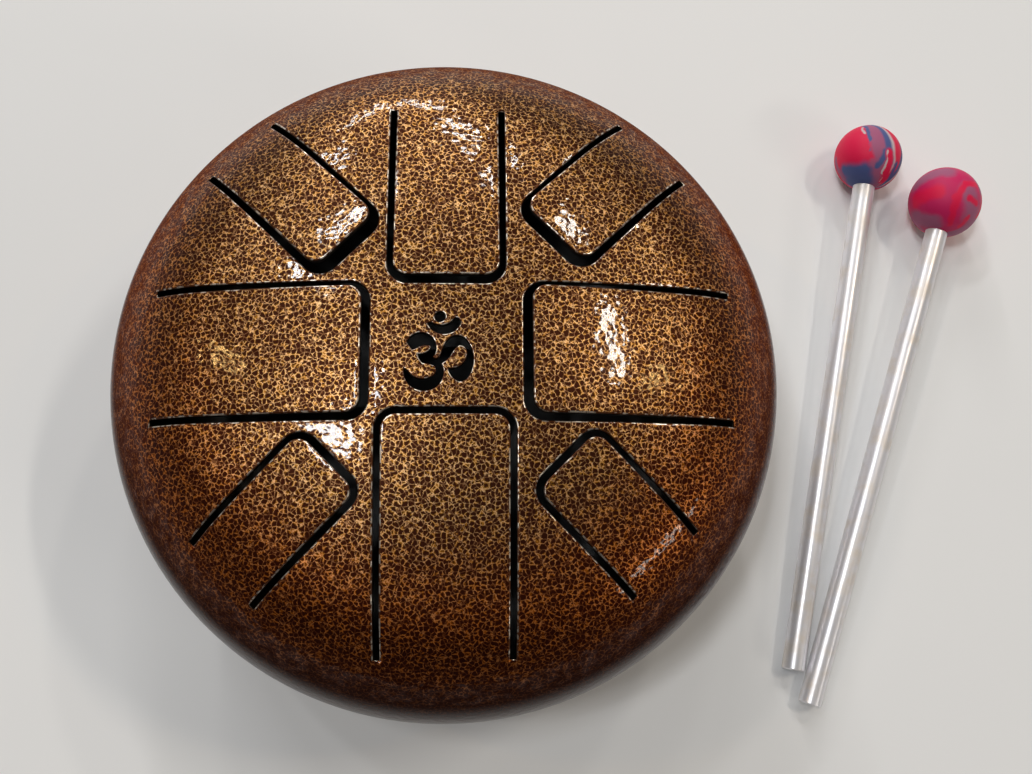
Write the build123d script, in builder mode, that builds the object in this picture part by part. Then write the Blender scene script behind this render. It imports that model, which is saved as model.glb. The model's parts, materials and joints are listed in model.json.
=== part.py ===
"""Steel tongue drum: two welded shells, eight tongues, three rubber feet and a pair of mallets.

Millimetres. The origin is the centre of the sound hole on the underside of the base, +Z is up,
-Y is the player's side and +X is the side on which the mallets lie.
"""

import os
from collections import namedtuple
from math import asin, atan2, cos, degrees, hypot, radians, sin, sqrt

from build123d import *

os.makedirs("parts", exist_ok=True)

# Shells, both pressed from the same steel sheet
rim_radius = 74.7
sheet = 1.5
crown_radius = 245.0
crown_knuckle = 30.0
base_knuckle = 32.0
skirt = 2.0
sound_hole_radius = 17.0

# Weld bead in the V between the two rims
weld_width = 2.4
weld_depth = 0.7
weld_proud = 0.3

# Cuts around the tongues
kerf = 1.3
tip_corner = 3.0
root_gap = 0.03

# Each tongue: bearing of its length in degrees, its width, how far its middle line lies to the left
# of the drum's axis, how far its tip is from the axis and its root from the rim, and how many
# degrees it is bent up
Tongue = namedtuple("Tongue", "bearing width offset tip root_inset bent_up")
tongues = {
    "back": Tongue(bearing=90, width=21.5, offset=0.0, tip=14.9, root_inset=21.2, bent_up=2.0),
    "front": Tongue(bearing=-90, width=25.5, offset=0.0, tip=13.0, root_inset=14.3, bent_up=0.6),
    "left": Tongue(bearing=180, width=25.7, offset=0.0, tip=16.5, root_inset=14.9, bent_up=2.2),
    "right": Tongue(bearing=0, width=25.9, offset=0.0, tip=16.8, root_inset=15.6, bent_up=3.4),
    "back_left": Tongue(bearing=135, width=16.4, offset=-1.4, tip=29.3, root_inset=10.5, bent_up=4.6),
    "back_right": Tongue(bearing=45, width=17.1, offset=1.8, tip=32.1, root_inset=10.1, bent_up=3.8),
    "front_left": Tongue(bearing=-135, width=16.2, offset=-0.4, tip=31.8, root_inset=12.4, bent_up=1.7),
    "front_right": Tongue(bearing=-45, width=16.8, offset=1.3, tip=32.3, root_inset=13.5, bent_up=2.0),
}

# Sign pierced through the crown: size of one unit of its drawing
sign_unit = 1.0

# Feet, held by a screw in a blind threaded insert
foot_names = ("front", "back_right", "back_left")
foot_height = 6.5
foot_wall = 2.4
foot_taper = 0.8
foot_edge = 0.6
foot_margin = 1.5
screw_radius = 2.0
screw_head_radius = 3.8
screw_head_height = 2.2
screw_head_sink = 0.6
washer_radius = 4.5
washer_thickness = 0.8
insert_wall = 1.0
insert_flange = 1.2
insert_flange_thickness = 0.8
insert_bulge_height = 2.5
insert_length = 8.0
fit_clearance = 0.1
thread_clearance = 0.02

# Mallets: which way each rod points from butt to head, and the size of its head. The first butt is
# placed from the rim and the axis; the second lies against the first rod, a little nearer the player
Mallet = namedtuple("Mallet", "bearing head_radius")
mallets = {
    "mallet_1": Mallet(bearing=78.8, head_radius=9.0),
    "mallet_2": Mallet(bearing=71.8, head_radius=9.5),
}
butt_from_rim = 12.9
butt_forward = 66.4
butt_gap = 0.45
butt_stagger = 7.7
rod_radius = 2.9
rod_chamfer = 0.35
rod_reach = 140.0
rod_past_head_centre = 3.5
glue_gap = 0.05
glue_end_gap = 0.3

# Heights that follow from the sizes above
dome_rise = crown_radius - sqrt((crown_radius - crown_knuckle) ** 2 - (rim_radius - crown_knuckle) ** 2)
seam_z = base_knuckle + skirt
crown_knuckle_z = seam_z + skirt
crown_z = crown_knuckle_z + dome_rise
crown_centre_z = crown_z - crown_radius
floor_z = -foot_height

# Where the crown's arc runs into the knuckle's arc, as an angle from the axis
crown_angle = degrees(asin((rim_radius - crown_knuckle) / (crown_radius - crown_knuckle)))


def save(part, name):
    """Names a finished piece and writes it."""
    part.label = name
    export_step(part, f"parts/{name}.step")


def dome_height(r):
    """Height of the upper shell's outer face at radius r."""
    if r < crown_radius * sin(radians(crown_angle)):
        return crown_centre_z + sqrt(crown_radius**2 - r**2)
    return crown_knuckle_z + sqrt(crown_knuckle**2 - (r - rim_radius + crown_knuckle) ** 2)


def dome_section():
    """Half section of the upper shell, from the axis to the seam, bevelled for the weld."""
    crown_centre = (0, crown_centre_z)
    knuckle_centre = (rim_radius - crown_knuckle, crown_knuckle_z)
    inner_rim = rim_radius - sheet
    with BuildSketch(Plane.XZ) as section:
        with BuildLine():
            crown = CenterArc(crown_centre, crown_radius, 90, -crown_angle)
            CenterArc(knuckle_centre, crown_knuckle, 90 - crown_angle, crown_angle - 90)
            Polyline(
                (rim_radius, crown_knuckle_z),
                (rim_radius, seam_z + weld_width / 2),
                (rim_radius - weld_depth, seam_z),
                (inner_rim, seam_z),
                (inner_rim, crown_knuckle_z),
            )
            CenterArc(knuckle_centre, crown_knuckle - sheet, 0, 90 - crown_angle)
            inner = CenterArc(crown_centre, crown_radius - sheet, 90 - crown_angle, crown_angle)
            Line(inner @ 1, crown @ 0)
        make_face()
    return section.sketch


def tongue_plane(tongue):
    """Level plane through the crown: X runs out along the tongue, Y to its left."""
    return Plane.XY.offset(crown_z).rotated((0, 0, tongue.bearing))


def tongue_root(tongue):
    """Distance of the tongue's root line from the drum's axis."""
    return rim_radius - tongue.root_inset


def tongue_outline(tongue, around, past_root):
    """Tongue seen from above, grown by a margin all round its free edges."""
    tip = tongue.tip - around
    end = tongue_root(tongue) + past_root
    with Locations(((tip + end) / 2, tongue.offset)):
        Rectangle(end - tip, tongue.width + 2 * around)


def sign_at(x, y):
    """A point of the sign's drawing, in the drawing's own units."""
    return (sign_unit * x, sign_unit * y)


def sign_arcs(*points):
    """Chain of arcs: start, then a point on each arc and its end."""
    for start, middle, end in zip(points[0::2], points[1::2], points[2::2]):
        ThreePointArc(sign_at(*start), sign_at(*middle), sign_at(*end))


def sign_line(*points):
    """Straight runs of the sign's outline."""
    Polyline(*[sign_at(*point) for point in points])


def sign_drawing():
    """Dot, crescent, three-shaped stroke and hooked tail of the sign, drawn on the crown."""
    with BuildSketch(Plane.XY.offset(crown_z)) as sign:
        with Locations(sign_at(-1.2, 6.5)):
            Circle(sign_unit * 1.1)
        with BuildLine():
            sign_arcs((-3.75, 5.2), (-0.5, 2.9), (2.95, 5.2), (2.6, 6.1), (1.65, 6.25))
            sign_arcs((1.65, 6.25), (-0.9, 4.75), (-2.9, 5.4))
            sign_line((-2.9, 5.4), (-3.75, 5.2))
        make_face()
        # Upper bowl with the short arm below it
        with BuildLine():
            sign_arcs((-7.8, 1.3), (-4.6, 3.2), (-1.95, 0.75), (-1.95, -0.6), (-2.6, -1.8))
            sign_line((-2.6, -1.8), (-1.5, -2.3), (-2.15, -3.65))
            sign_arcs((-2.15, -3.65), (-3.3, -3.15), (-4.55, -3.05), (-5.2, -2.2), (-5.6, -1.15))
            sign_arcs((-5.6, -1.15), (-4.1, -0.95), (-3.1, -0.1), (-3.0, 0.35), (-3.4, 0.55))
            sign_arcs((-3.4, 0.55), (-4.7, 0.5), (-5.8, 0.05))
            sign_line((-5.8, 0.05), (-6.65, -0.3), (-7.8, 1.3))
        make_face()
        # Lower bowl
        with BuildLine():
            sign_arcs((-8.25, -4.0), (-7.3, -7.2), (-4.3, -8.55), (-0.95, -6.7), (-0.85, -3.05))
            sign_line((-0.85, -3.05), (-2.3, -2.3), (-2.15, -3.65))
            sign_arcs((-2.15, -3.65), (-1.95, -4.6), (-2.75, -5.65), (-5.0, -6.15), (-7.5, -4.5))
            sign_line((-7.5, -4.5), (-8.25, -4.0))
        make_face()
        # Tail that rises from the waist and hooks down to the right
        with BuildLine():
            sign_line((-0.85, -3.05), (-2.3, -2.3))
            sign_arcs((-2.3, -2.3), (-1.5, -1.85), (-1.0, -1.2), (-0.5, 0.35), (0.2, 1.65))
            sign_arcs((0.2, 1.65), (2.3, 2.65), (4.4, 1.35), (5.5, -1.9), (4.7, -5.35))
            sign_arcs((4.7, -5.35), (3.8, -6.4), (2.7, -6.7), (1.3, -5.8), (0.45, -4.0))
            sign_arcs((0.45, -4.0), (2.8, -3.5), (4.2, -1.0), (3.75, 0.25), (2.65, 0.6))
            sign_arcs((2.65, 0.6), (1.6, -0.35), (0.9, -1.6), (0.1, -2.4), (-0.85, -3.05))
        make_face()
    return sign.sketch


# Upper shell
with BuildPart() as upper_shell:
    revolve(dome_section(), axis=Axis.Z)
    for tongue in tongues.values():
        with BuildSketch(tongue_plane(tongue)) as window:
            tongue_outline(tongue, around=kerf, past_root=0)
            fillet(window.vertices().group_by(Axis.X)[0], tip_corner + kerf)
            fillet(window.vertices().group_by(Axis.X)[-1], kerf / 2)
        extrude(amount=-(crown_z - seam_z), mode=Mode.SUBTRACT)
    extrude(sign_drawing(), amount=-(crown_z - seam_z), mode=Mode.SUBTRACT)
save(upper_shell.part, "upper_shell")

# Tongues, cut from the same dome, bent up about their roots and parted from the shell there
for name, tongue in tongues.items():
    plane = tongue_plane(tongue)
    with BuildPart() as flat_tongue:
        revolve(dome_section(), axis=Axis.Z)
        with BuildSketch(plane) as outline:
            tongue_outline(tongue, around=0, past_root=sheet)
            fillet(outline.vertices().group_by(Axis.X)[0], tip_corner)
        extrude(amount=-(crown_z - seam_z), mode=Mode.INTERSECT)
    root = tongue_root(tongue)
    root_z = dome_height(hypot(root, tongue.offset)) - sheet / 2
    root_point = plane.from_local_coords((root, tongue.offset, root_z - crown_z))
    root_line = Axis(root_point, plane.y_dir)
    root_plane = Plane(root_point - plane.x_dir * root_gap, x_dir=plane.y_dir, z_dir=plane.x_dir)
    with BuildPart() as bent_tongue:
        add(flat_tongue.part.rotate(root_line, tongue.bent_up))
        split(bisect_by=root_plane, keep=Keep.BOTTOM)
    save(bent_tongue.part, f"tongue_{name}")

# Lower shell: a flat-based pan with the sound hole and the foot holes
foot_radius = washer_radius + fit_clearance + foot_wall
foot_circle = rim_radius - base_knuckle - foot_radius - foot_margin
insert_radius = screw_radius + insert_wall
foot_places = PolarLocations(foot_circle, len(foot_names), start_angle=-90)

with BuildPart() as lower_shell:
    with BuildSketch(Plane.XZ):
        knuckle_centre = (rim_radius - base_knuckle, base_knuckle)
        with BuildLine():
            outer_base = Line((sound_hole_radius, 0), (rim_radius - base_knuckle, 0))
            CenterArc(knuckle_centre, base_knuckle, -90, 90)
            Polyline(
                (rim_radius, base_knuckle),
                (rim_radius, seam_z - weld_width / 2),
                (rim_radius - weld_depth, seam_z),
                (rim_radius - sheet, seam_z),
                (rim_radius - sheet, base_knuckle),
            )
            CenterArc(knuckle_centre, base_knuckle - sheet, 0, -90)
            Polyline((rim_radius - base_knuckle, sheet), (sound_hole_radius, sheet), outer_base @ 0)
        make_face()
    revolve(axis=Axis.Z)
    with foot_places:
        Hole(insert_radius + fit_clearance)
save(lower_shell.part, "lower_shell")

# Weld bead: fills the V and stands a little proud of the rim
with BuildPart() as seam_weld:
    with BuildSketch(Plane.XZ):
        with BuildLine():
            ThreePointArc(
                (rim_radius, seam_z - weld_width / 2),
                (rim_radius + weld_proud, seam_z),
                (rim_radius, seam_z + weld_width / 2),
            )
            Polyline(
                (rim_radius, seam_z + weld_width / 2),
                (rim_radius - weld_depth, seam_z),
                (rim_radius, seam_z - weld_width / 2),
            )
        make_face()
    revolve(axis=Axis.Z)
save(seam_weld.part, "seam_weld")

# Feet: tapered rubber, recessed below for the screw head and above for the insert's flange
head_recess = screw_head_sink + screw_head_height + washer_thickness
flange_radius = insert_radius + insert_flange
flange_pocket = insert_flange_thickness + fit_clearance

for name, place in zip(foot_names, foot_places.locations):
    with BuildPart(Plane(place)) as foot:
        Cone(
            foot_radius - foot_taper,
            foot_radius,
            foot_height,
            align=(Align.CENTER, Align.CENTER, Align.MAX),
        )
        fillet(foot.edges().group_by(Axis.Z)[0], foot_edge)
        with Locations((0, 0, floor_z)):
            Cylinder(
                washer_radius + fit_clearance,
                head_recess,
                align=(Align.CENTER, Align.CENTER, Align.MIN),
                mode=Mode.SUBTRACT,
            )
        Cylinder(
            flange_radius + fit_clearance,
            flange_pocket,
            align=(Align.CENTER, Align.CENTER, Align.MAX),
            mode=Mode.SUBTRACT,
        )
        Hole(screw_radius + fit_clearance)
    save(foot.part, f"foot_{name}")

# Blind threaded inserts: flange below the base, neck through it, bulge set behind it
with BuildPart() as foot_inserts:
    with foot_places:
        with Locations((0, 0, -insert_flange_thickness)):
            Cylinder(
                flange_radius,
                insert_flange_thickness,
                align=(Align.CENTER, Align.CENTER, Align.MIN),
            )
        Cylinder(insert_radius, insert_length, align=(Align.CENTER, Align.CENTER, Align.MIN))
        with Locations((0, 0, sheet)):
            Cylinder(
                flange_radius,
                insert_bulge_height,
                align=(Align.CENTER, Align.CENTER, Align.MIN),
            )
        Hole(screw_radius + thread_clearance)
save(foot_inserts.part, "foot_inserts")

# Screws and washers, driven from below
washer_z = floor_z + head_recess - washer_thickness

with BuildPart() as foot_washers:
    with foot_places:
        with Locations((0, 0, washer_z)):
            Cylinder(
                washer_radius,
                washer_thickness,
                align=(Align.CENTER, Align.CENTER, Align.MIN),
            )
        Hole(screw_radius + fit_clearance)
save(foot_washers.part, "foot_washers")

with BuildPart() as foot_screws:
    with foot_places:
        with Locations((0, 0, washer_z)):
            Cylinder(
                screw_head_radius,
                screw_head_height,
                align=(Align.CENTER, Align.CENTER, Align.MAX),
            )
            Cylinder(
                screw_radius,
                insert_length - washer_z,
                align=(Align.CENTER, Align.CENTER, Align.MIN),
            )
save(foot_screws.part, "foot_screws")

# Mallets: each lies on its head and on the edge of its butt
level_1, level_2 = (Vector(1, 0, 0).rotate(Axis.Z, mallet.bearing) for mallet in mallets.values())
butt_1 = Vector(rim_radius + butt_from_rim, -butt_forward, floor_z)
beside_butt_1 = butt_1 + level_1.rotate(Axis.Z, -90) * (2 * rod_radius + butt_gap)
butt_2 = beside_butt_1 - level_2 * butt_stagger

for (name, mallet), level, butt in zip(mallets.items(), (level_1, level_2), (butt_1, butt_2)):
    rise = asin(mallet.head_radius / hypot(rod_reach, rod_radius)) - atan2(rod_radius, rod_reach)
    rod_axis = level * cos(rise) + Vector(0, 0, sin(rise))
    rod_plane = Plane(butt + Vector(0, 0, rod_radius * cos(rise)), z_dir=rod_axis)
    with BuildPart(rod_plane) as rod:
        Cylinder(
            rod_radius,
            rod_reach + rod_past_head_centre,
            align=(Align.CENTER, Align.CENTER, Align.MIN),
        )
        chamfer(rod.edges().filter_by(GeomType.CIRCLE), rod_chamfer)
    save(rod.part, f"{name}_rod")
    with BuildPart(rod_plane.offset(rod_reach)) as head:
        Sphere(mallet.head_radius)
        with Locations((0, 0, rod_past_head_centre + glue_end_gap)):
            Cylinder(
                rod_radius + glue_gap,
                rod_past_head_centre + glue_end_gap + mallet.head_radius,
                align=(Align.CENTER, Align.CENTER, Align.MAX),
                mode=Mode.SUBTRACT,
            )
    save(head.part, f"{name}_head")
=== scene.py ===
"""Finishes of a steel tongue drum: pressed and painted shells, bent tongues, feet and marbled mallets."""

import json
from collections import namedtuple
from math import asin, atan2, cos, pi, radians, sin, sqrt

import bmesh
import bpy
from bpy.props import FloatProperty, FloatVectorProperty, IntProperty, PointerProperty
from mathutils import Matrix, Vector


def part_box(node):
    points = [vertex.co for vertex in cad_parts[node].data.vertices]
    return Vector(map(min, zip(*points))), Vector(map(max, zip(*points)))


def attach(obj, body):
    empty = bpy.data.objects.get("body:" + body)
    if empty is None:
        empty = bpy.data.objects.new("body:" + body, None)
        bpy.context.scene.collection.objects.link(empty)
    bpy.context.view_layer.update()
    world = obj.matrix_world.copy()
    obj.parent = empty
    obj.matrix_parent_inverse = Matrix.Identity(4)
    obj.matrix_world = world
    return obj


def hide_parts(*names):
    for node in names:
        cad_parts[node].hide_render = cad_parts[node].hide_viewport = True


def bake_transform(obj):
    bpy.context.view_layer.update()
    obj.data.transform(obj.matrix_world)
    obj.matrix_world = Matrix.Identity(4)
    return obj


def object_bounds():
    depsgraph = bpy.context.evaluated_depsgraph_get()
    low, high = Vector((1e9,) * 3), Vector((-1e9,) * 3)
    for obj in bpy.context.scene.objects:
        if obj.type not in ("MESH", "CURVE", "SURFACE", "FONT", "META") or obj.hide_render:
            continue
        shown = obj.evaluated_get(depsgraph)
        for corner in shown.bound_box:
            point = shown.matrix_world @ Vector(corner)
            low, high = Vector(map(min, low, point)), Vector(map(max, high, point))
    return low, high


bl_info = {
    "name": "Steel tongue drum",
    "version": (1, 0, 0),
    "blender": (4, 5, 0),
    "location": "View3D > Sidebar > Tongue drum",
    "description": "Builds the painted shells, tongues, feet and mallets of a steel tongue drum",
    "category": "Object",
}

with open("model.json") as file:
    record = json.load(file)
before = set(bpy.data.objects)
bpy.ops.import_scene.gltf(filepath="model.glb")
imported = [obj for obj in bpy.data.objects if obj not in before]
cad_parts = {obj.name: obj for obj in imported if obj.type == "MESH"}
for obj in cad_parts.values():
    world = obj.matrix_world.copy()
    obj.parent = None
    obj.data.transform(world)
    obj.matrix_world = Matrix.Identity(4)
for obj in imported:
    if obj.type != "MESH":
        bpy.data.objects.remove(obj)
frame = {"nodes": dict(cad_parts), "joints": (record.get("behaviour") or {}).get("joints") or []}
cad_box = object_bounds()
joints = {joint["name"]: joint for joint in frame["joints"]}

SHELL_LOW, SHELL_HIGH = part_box("upper_shell")
RIM_RADIUS = SHELL_HIGH.x
CROWN_Z = SHELL_HIGH.z
SEAM_Z = SHELL_LOW.z
FLOOR_Z = cad_box[0].z
MERGE = 1e-6
FEET = ("foot_front", "foot_back_left", "foot_back_right")

# Material slots of the painted sheets, and the angle past which an edge stays sharp
PAINT, INSIDE, EDGE = range(3)
SHARP_ANGLE = radians(40)

# Steps in each round or arc
CORNER_STEPS = 10
ROUND_STEPS = 4
SHOULDER_STEPS = 14
INNER_SHOULDER_STEPS = 8
KNUCKLE_STEPS = 24
BEAD_STEPS = 9
SCREW_STEPS = 48
FLOOR_STEPS = 96

# Width of each tongue, how far its tip is from the drum's axis, and how far it is bent up
TongueSize = namedtuple("TongueSize", "width tip bend")
TONGUES = {
    "back": TongueSize(0.0215, 0.0149, radians(2.0)),
    "front": TongueSize(0.0255, 0.0130, radians(0.6)),
    "left": TongueSize(0.0257, 0.0165, radians(2.2)),
    "right": TongueSize(0.0259, 0.0168, radians(3.4)),
    "back_left": TongueSize(0.0164, 0.0293, radians(4.6)),
    "back_right": TongueSize(0.0171, 0.0321, radians(3.8)),
    "front_left": TongueSize(0.0162, 0.0318, radians(1.7)),
    "front_right": TongueSize(0.0168, 0.0323, radians(2.0)),
}
# Where a tongue's painted round begins, in rounds from its root
ROUND_START = 2

# The sign's edges lie this many kerfs clear of the tongues' cuts, between a face and a wall whose
# normals rise by these shares, and they have this share of the painted round
SIGN_CLEAR = 1.5
FACE_RISE = 0.9
WALL_RISE = 0.3
SIGN_ROUND = 0.7
SIGN_OUTLINES = 3

# Least cosine that lengthens the mitre at a sharp corner of an outline
MITRE_LEAST = 0.6

# Ripples round the weld, the steps in each, and the share of the bead that they take off
RIPPLES = 150
RIPPLE_STEPS = 4
RIPPLE_DEPTH = 0.25

# Outline of a screw's head, as shares of its radius and height
HEAD_PROFILE = ((0.70, 0.0), (0.88, 0.10), (0.97, 0.35), (1.0, 0.65))

# Its cross in head radii: the corners of one arm, turned by the cosine and sine of each quarter
ARM = ((0.5, -0.12), (0.5, 0.12), (0.12, 0.12))
QUARTERS = ((1, 0), (0, 1), (-1, 0), (0, -1))
CROSS = [(x * c - y * s, x * s + y * c) for c, s in QUARTERS for x, y in ARM]

# Share of the head's height that the cross is sunk, its size at the bottom, and the turn between screws
CROSS_DEPTH = 0.55
CROSS_TAPER = 0.6
SCREW_TURN = radians(35)

# Where most of a noise lies
NOISE_RANGE = (0.3, 0.7)

# Vein paint, in cell sizes: the waves that make cells ragged, that vary the veins and that make patches,
# the least and greatest width of a vein, and where the smear beside it starts and can end
RAGGED_WAVE = 0.8
RAGGED_PUSH = 0.75
WIDTH_WAVE = 1.3
PATCH_WAVE = 0.8
VEIN_WIDTHS = (0.020, 0.062)
SMEAR_START = 0.04
SMEAR_ENDS = (0.17, 0.26)

# Soft edge of a vein in its own widths, and the noise over which patches turn gold or bright
VEIN_EDGE = (0.6, 1.15)
GOLD_PATCHES = (0.50, 0.62)
BRIGHT_PATCHES = (0.36, 0.56)

# Zones of the paint from start to end, by distance from the drum's axis or by height on its side
# Painted reflection of red surroundings: the colour reddens over this zone, and the rim's dark red-brown,
# also a painted reflection, covers the veins over the next
RED_REFLECTION_ZONE = (RIM_RADIUS - 0.032, RIM_RADIUS - 0.006)
RIM_ZONE = (RIM_RADIUS - 0.016, RIM_RADIUS - 0.004)
DULL_ZONE = (RIM_RADIUS - 0.013, RIM_RADIUS - 0.005)
# Painted shade: the colour darkens over this zone, measured from a centre behind the axis
PAINTED_SHADE_ZONE = (RIM_RADIUS - 0.010, RIM_RADIUS + 0.008)
PEEL_ZONE = (0.045, 0.064)
SIDE_ZONE = (SEAM_Z + 0.011, SEAM_Z + 0.019)

# The red zone's painted reflection and the painted shade zone are centred behind the axis, and the edges of
# most zones wander in waves
ZONE_CENTRE = (0.0, 0.012, 0.0)
WANDER = 0.012
WANDER_WAVE = 0.0025

# How much longer than wide the lines on a rod are
LINE_STRETCH = 60.0

# Full and faded parts of a stroke in its widths, and the way up for the strokes
STROKE_CORE = 0.45
STROKE_EDGE = 1.35
STROKES_UP = Vector((0.0, 1.0, 0.2))

# Edge of the painted shadow under the drum, the clouds' share of the floor's tone, and where the
# surroundings change by their direction's height and its way to the back
SHADOW_PATCH_ZONE = (0.03, 0.06)
FLOOR_CLOUD = 0.985
ZENITH_ZONE = (0.1, 0.55)
PLAYER_ZONE = (0.3, -0.7)

# Camera's sensor in millimetres, and the nearest that it sees
SENSOR_WIDTH = 36
NEAR_CLIP = 0.01

# Lamps: the directions of a strip's two ends as azimuth from +Y towards +X and height above
# level, the strip's width as an angle, its brightness and its colour, with all angles in degrees
Lamp = namedtuple("Lamp", "start end width glow colour")
COOL, PLAIN = (0.96, 0.98, 1.0), (1.0, 0.98, 0.96)
WARM, AMBER = (1.0, 0.94, 0.85), (1.0, 0.62, 0.22)
LAMPS = {
    "window_left": Lamp((-20, 29), (-11, 15), 1.6, 44, PLAIN),
    "window_right": Lamp((-9, 15), (-2, 28), 1.6, 44, PLAIN),
    "left_panel_1": Lamp((-20, 42), (-35, 44), 1.3, 78, COOL),
    "left_panel_2": Lamp((-40, 54), (-44, 57), 2.0, 78, COOL),
    "left_panel_3": Lamp((-80, 68), (-94, 75), 3.0, 78, COOL),
    "left_panel_4": Lamp((-50, 73), (-68, 76), 2.2, 78, COOL),
    "right_panel_1": Lamp((-3, 37), (4, 40), 1.2, 78, PLAIN),
    "right_panel_2": Lamp((6, 44), (12, 46), 1.2, 78, PLAIN),
    "right_panel_3": Lamp((28, 44), (33, 46), 2.0, 78, WARM),
    "right_panel_4": Lamp((55, 53), (73, 56), 1.8, 78, WARM),
    "left_glow": Lamp((-71, 47), (-73, 51), 1.6, 40, AMBER),
    "right_glow": Lamp((74, 49), (77, 52), 1.6, 36, AMBER),
    "fill": Lamp((110, 26), (130, 30), 3.5, 14, WARM),
}

# Bands of the marbled heads, by the share of a turn at which each starts, with 0.5 on top
Marbling = namedtuple("Marbling", "turn swirl bands strokes")
# Strokes over the bands on the side that is seen, by places right of and above its middle in radii
Stroke = namedtuple("Stroke", "start end width tone")
MARBLING = {
    "mallet_1": Marbling((0.0, 0.0, 0.1), 0.5, (
        (0.0, "slate"), (0.07, "mauve"), (0.14, "crimson"), (0.46, "mauve"), (0.53, "slate"),
        (0.57, "streak"), (0.586, "crimson"), (0.64, "slate"), (0.69, "streak"), (0.71, "crimson"),
        (0.74, "slate"), (0.79, "crimson"), (0.88, "mauve"),
    ), (
        Stroke((-0.95, -0.05), (-0.75, -0.55), 0.10, "mauve"),
        Stroke((0.22, -0.25), (0.20, -0.80), 0.20, "mauve"),
        Stroke((-0.62, -0.42), (-0.12, -0.40), 0.28, "slate"),
        Stroke((-0.45, -0.72), (-0.08, -0.68), 0.30, "slate"),
        Stroke((-0.04, 0.95), (0.06, 0.55), 0.07, "slate"),
        Stroke((0.06, 0.55), (0.08, 0.20), 0.05, "slate"),
        Stroke((-0.15, 0.88), (-0.10, 0.72), 0.05, "streak"),
        Stroke((0.50, 0.12), (0.30, -0.25), 0.10, "slate"),
        Stroke((0.62, 0.06), (0.42, -0.70), 0.15, "crimson"),
        Stroke((0.80, -0.25), (0.66, -0.60), 0.10, "slate"),
        Stroke((0.58, 0.12), (0.50, -0.26), 0.04, "streak"),
        Stroke((0.50, -0.26), (0.33, -0.72), 0.03, "streak"),
    )),
    "mallet_2": Marbling((0.3, 0.0, -0.5), 1.0, (
        (0.0, "mauve"), (0.08, "crimson"), (0.14, "mauve"), (0.25, "rose"), (0.64, "mauve"),
        (0.74, "crimson"), (0.93, "slate"),
    ), (
        Stroke((-0.75, 0.58), (0.05, 0.88), 0.26, "mauve"),
        Stroke((-0.80, 0.08), (-0.22, 0.33), 0.22, "crimson"),
        Stroke((-0.78, -0.42), (-0.35, -0.55), 0.27, "mauve"),
        Stroke((0.58, 0.30), (0.68, -0.40), 0.30, "mauve"),
        Stroke((0.78, 0.48), (0.50, 0.46), 0.11, "crimson"),
        Stroke((0.50, 0.46), (0.27, 0.15), 0.12, "crimson"),
        Stroke((0.27, 0.15), (0.10, -0.62), 0.11, "crimson"),
        Stroke((0.62, 0.06), (0.80, -0.06), 0.10, "crimson"),
        Stroke((0.97, 0.10), (0.85, -0.45), 0.09, "crimson"),
        Stroke((0.35, -0.68), (0.56, -0.50), 0.08, "crimson"),
    )),
}


class DrumShape(bpy.types.PropertyGroup):
    """Sizes of the pressed shells and the foot screws."""

    sheet: FloatProperty(
        name="Sheet", description="Thickness of the steel", default=0.0015, unit="LENGTH"
    )
    crown_radius: FloatProperty(
        name="Crown radius", description="Radius of the crown's arc", default=0.245, unit="LENGTH"
    )
    crown_knuckle: FloatProperty(
        name="Crown knuckle", description="Radius of the upper shoulder", default=0.030, unit="LENGTH"
    )
    base_knuckle: FloatProperty(
        name="Base knuckle", description="Radius of the lower shoulder", default=0.032, unit="LENGTH"
    )
    skirt: FloatProperty(
        name="Skirt", description="Straight wall on each side of the seam", default=0.002, unit="LENGTH"
    )
    sound_hole: FloatProperty(
        name="Sound hole", description="Radius of the hole in the base", default=0.017, unit="LENGTH"
    )
    kerf: FloatProperty(
        name="Kerf", description="Width of the cut round a tongue", default=0.0013, unit="LENGTH"
    )
    tip_corner: FloatProperty(
        name="Tip corner", description="Corner radius of a tongue's tip", default=0.003, unit="LENGTH"
    )
    rim_band: FloatProperty(
        name="Rim band", description="Width of the shoulder below the sheet that is pressed",
        default=0.0077, unit="LENGTH"
    )
    screw_shank: FloatProperty(
        name="Screw shank", description="Radius of the foot screws", default=0.002, unit="LENGTH"
    )
    edge_round: FloatProperty(
        name="Edge round", description="Round of the paint over a cut edge", default=0.0003, unit="LENGTH"
    )
    bend_share: FloatProperty(
        name="Bend share", description="Share of a tongue's length that is bent",
        default=0.3, subtype="FACTOR"
    )
    mesh_step: FloatProperty(
        name="Mesh step", description="Grid that the pressed sheet is cut into", default=0.0015, unit="LENGTH"
    )
    segments: IntProperty(name="Segments", description="Steps round the shells", default=240, min=24)


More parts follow.
